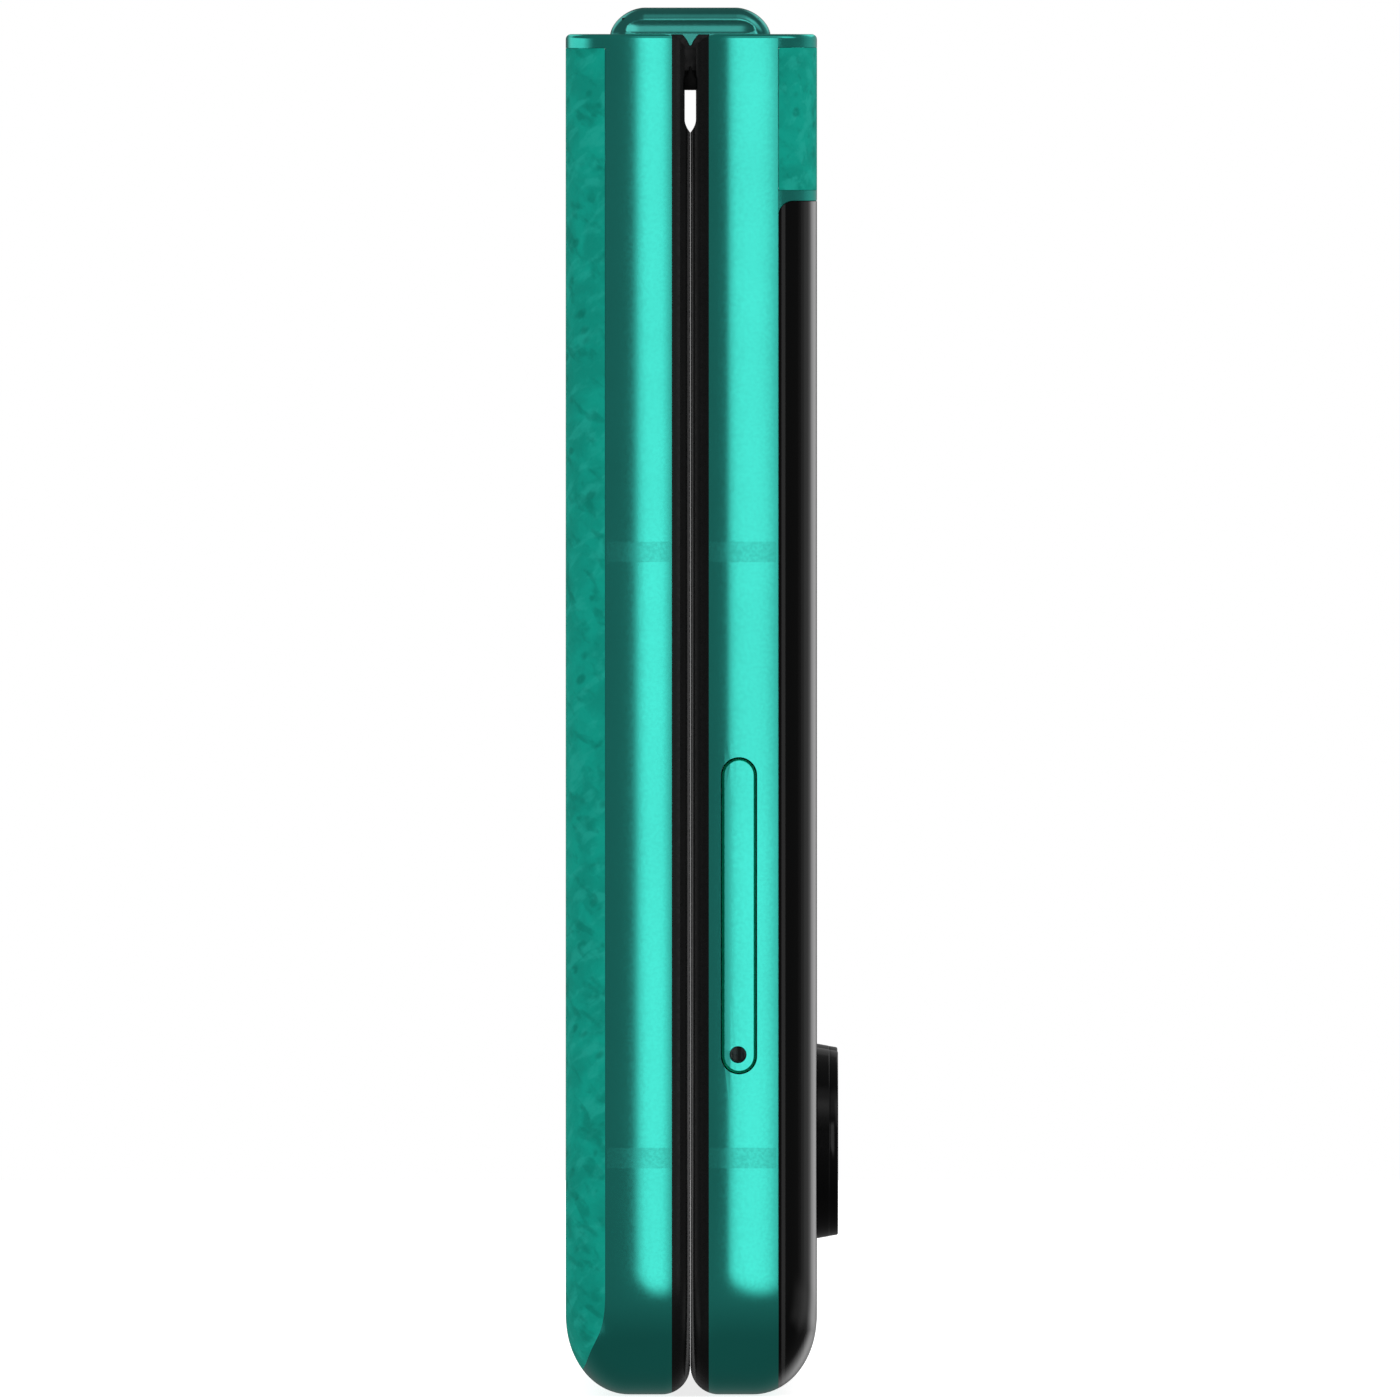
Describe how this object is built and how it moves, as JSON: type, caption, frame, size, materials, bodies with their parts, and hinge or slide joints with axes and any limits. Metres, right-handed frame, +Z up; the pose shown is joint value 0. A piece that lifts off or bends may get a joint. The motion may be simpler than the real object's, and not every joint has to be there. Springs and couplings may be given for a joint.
{
  "type": "flip phone",
  "caption": "Clamshell phone with a leather-backed half, a curved-glass cover half and a twin-axis geared hinge, closed and standing on its free ends.",
  "frame": {"origin": "bottom centre of the closed phone's box, where its two free ends stand, camera rings included", "axes": "+Z up to the hinge, +X out of the cover display, +Y towards the side with the power key and volume rocker"},
  "size_m": [0.0172, 0.0743, 0.0881],
  "materials": {
    "frame_metal": "glossy anodised teal, satin under a clear coat",
    "spine_metal": "glossy anodised dark teal",
    "antenna_band": "satin teal polymer",
    "leather": "mottled teal suede-like leather",
    "rim_black": "satin black polymer",
    "rubber_black": "matte black rubber",
    "screen": "glossy black flexible screen, switched off",
    "cover_glass": "glossy black curved glass",
    "lens_glass": "coated lens glass",
    "ring_metal": "glossy black anodised with turned edges",
    "steel": "fine brushed steel",
    "battery": "black coated aluminium pouch foil",
    "board": "solder-masked circuit board",
    "gold": "gold-plated contacts and copper flex",
    "plastic_black": "moulded black polymer",
    "flash": "clear ribbed lens over a pale diode"
  },
  "bodies": {
    "main_half": {"back_panel": "leather", "main_frame": "frame_metal", "main_antenna_bands": "antenna_band", "main_rim": "rim_black", "main_midplate": "steel", "main_display": "screen", "main_battery": "battery", "usb_board": "board", "usb_c_receptacle": "steel", "loudspeaker": "plastic_black", "vibration_motor": "steel", "bottom_microphone": "gold", "main_bumpers": "rubber_black", "main_hinge_arms": "steel", "main_arm_screws": "steel", "main_board_screws": "steel"},
    "spine": {"spine_cover": "spine_metal", "hinge_base": "plastic_black", "hinge_end_caps": "rim_black", "hinge_pins": "steel", "hinge_springs": "steel", "hinge_screws": "steel", "display_fold": "screen", "hinge_flex": "gold"},
    "sync_main": {"sync_shaft_main": "steel"},
    "sync_cover": {"sync_shaft_cover": "steel"},
    "cover_half": {"cover_frame": "frame_metal", "cover_antenna_bands": "antenna_band", "leather_strip": "leather", "cover_glass": "cover_glass", "cover_display_panel": "screen", "camera_rings": "ring_metal", "lens_glasses": "lens_glass", "camera_modules": "plastic_black", "flash_lens": "flash", "flash_led": "flash", "cover_rim": "rim_black", "cover_midplate": "steel", "inner_upper_display": "screen", "cover_battery": "battery", "main_board": "board", "board_shields": "steel", "earpiece_speaker": "plastic_black", "selfie_camera": "plastic_black", "cover_bumpers": "rubber_black", "cover_hinge_arms": "steel", "cover_arm_screws": "steel", "cover_board_screws": "steel", "sim_socket": "steel", "key_switches": "gold"},
    "card_tray": {"sim_tray": "frame_metal", "sim_tray_gasket": "rubber_black"},
    "power_button": {"power_key": "frame_metal"},
    "volume_button": {"volume_rocker": "frame_metal"}
  },
  "joints": [
    {"name": "hinge_main", "type": "hinge", "parent": "main_half", "child": "spine", "pos_m": [-0.0026, 0, 0.08455], "axis": [0, -1, 0], "range_deg": [0, 90], "deforming": ["display_fold", "hinge_flex"]},
    {"name": "hinge_cover", "type": "hinge", "parent": "spine", "child": "cover_half", "pos_m": [0.00111, 0, 0.08455], "axis": [0, -1, 0], "range_deg": [0, 90]},
    {"name": "sync_main_spin", "type": "hinge", "parent": "spine", "child": "sync_main", "pos_m": [-0.00134, 0, 0.08624], "axis": [0, -1, 0], "range_deg": [0, 225]},
    {"name": "sync_cover_spin", "type": "hinge", "parent": "spine", "child": "sync_cover", "pos_m": [-0.00015, 0, 0.08624], "axis": [0, 1, 0], "range_deg": [0, 225]},
    {"name": "tray_slide", "type": "slide", "parent": "cover_half", "child": "card_tray", "axis": [0, -1, 0], "range_m": [0, 0.022]},
    {"name": "power_press", "type": "slide", "parent": "cover_half", "child": "power_button", "axis": [0, -1, 0], "range_m": [0, 0.00025], "stiffness_N_per_m": 4000},
    {"name": "volume_rock", "type": "hinge", "parent": "cover_half", "child": "volume_button", "pos_m": [0.00235, 0.0352, 0.041], "axis": [1, 0, 0], "range_deg": [-1, 1], "stiffness_Nm_per_rad": 0.6}
  ],
  "couplings": [
    {"joint": "hinge_cover", "follows": "hinge_main", "ratio": 1},
    {"joint": "sync_main_spin", "follows": "hinge_main", "ratio": 2.5},
    {"joint": "sync_cover_spin", "follows": "hinge_main", "ratio": 2.5}
  ]
}
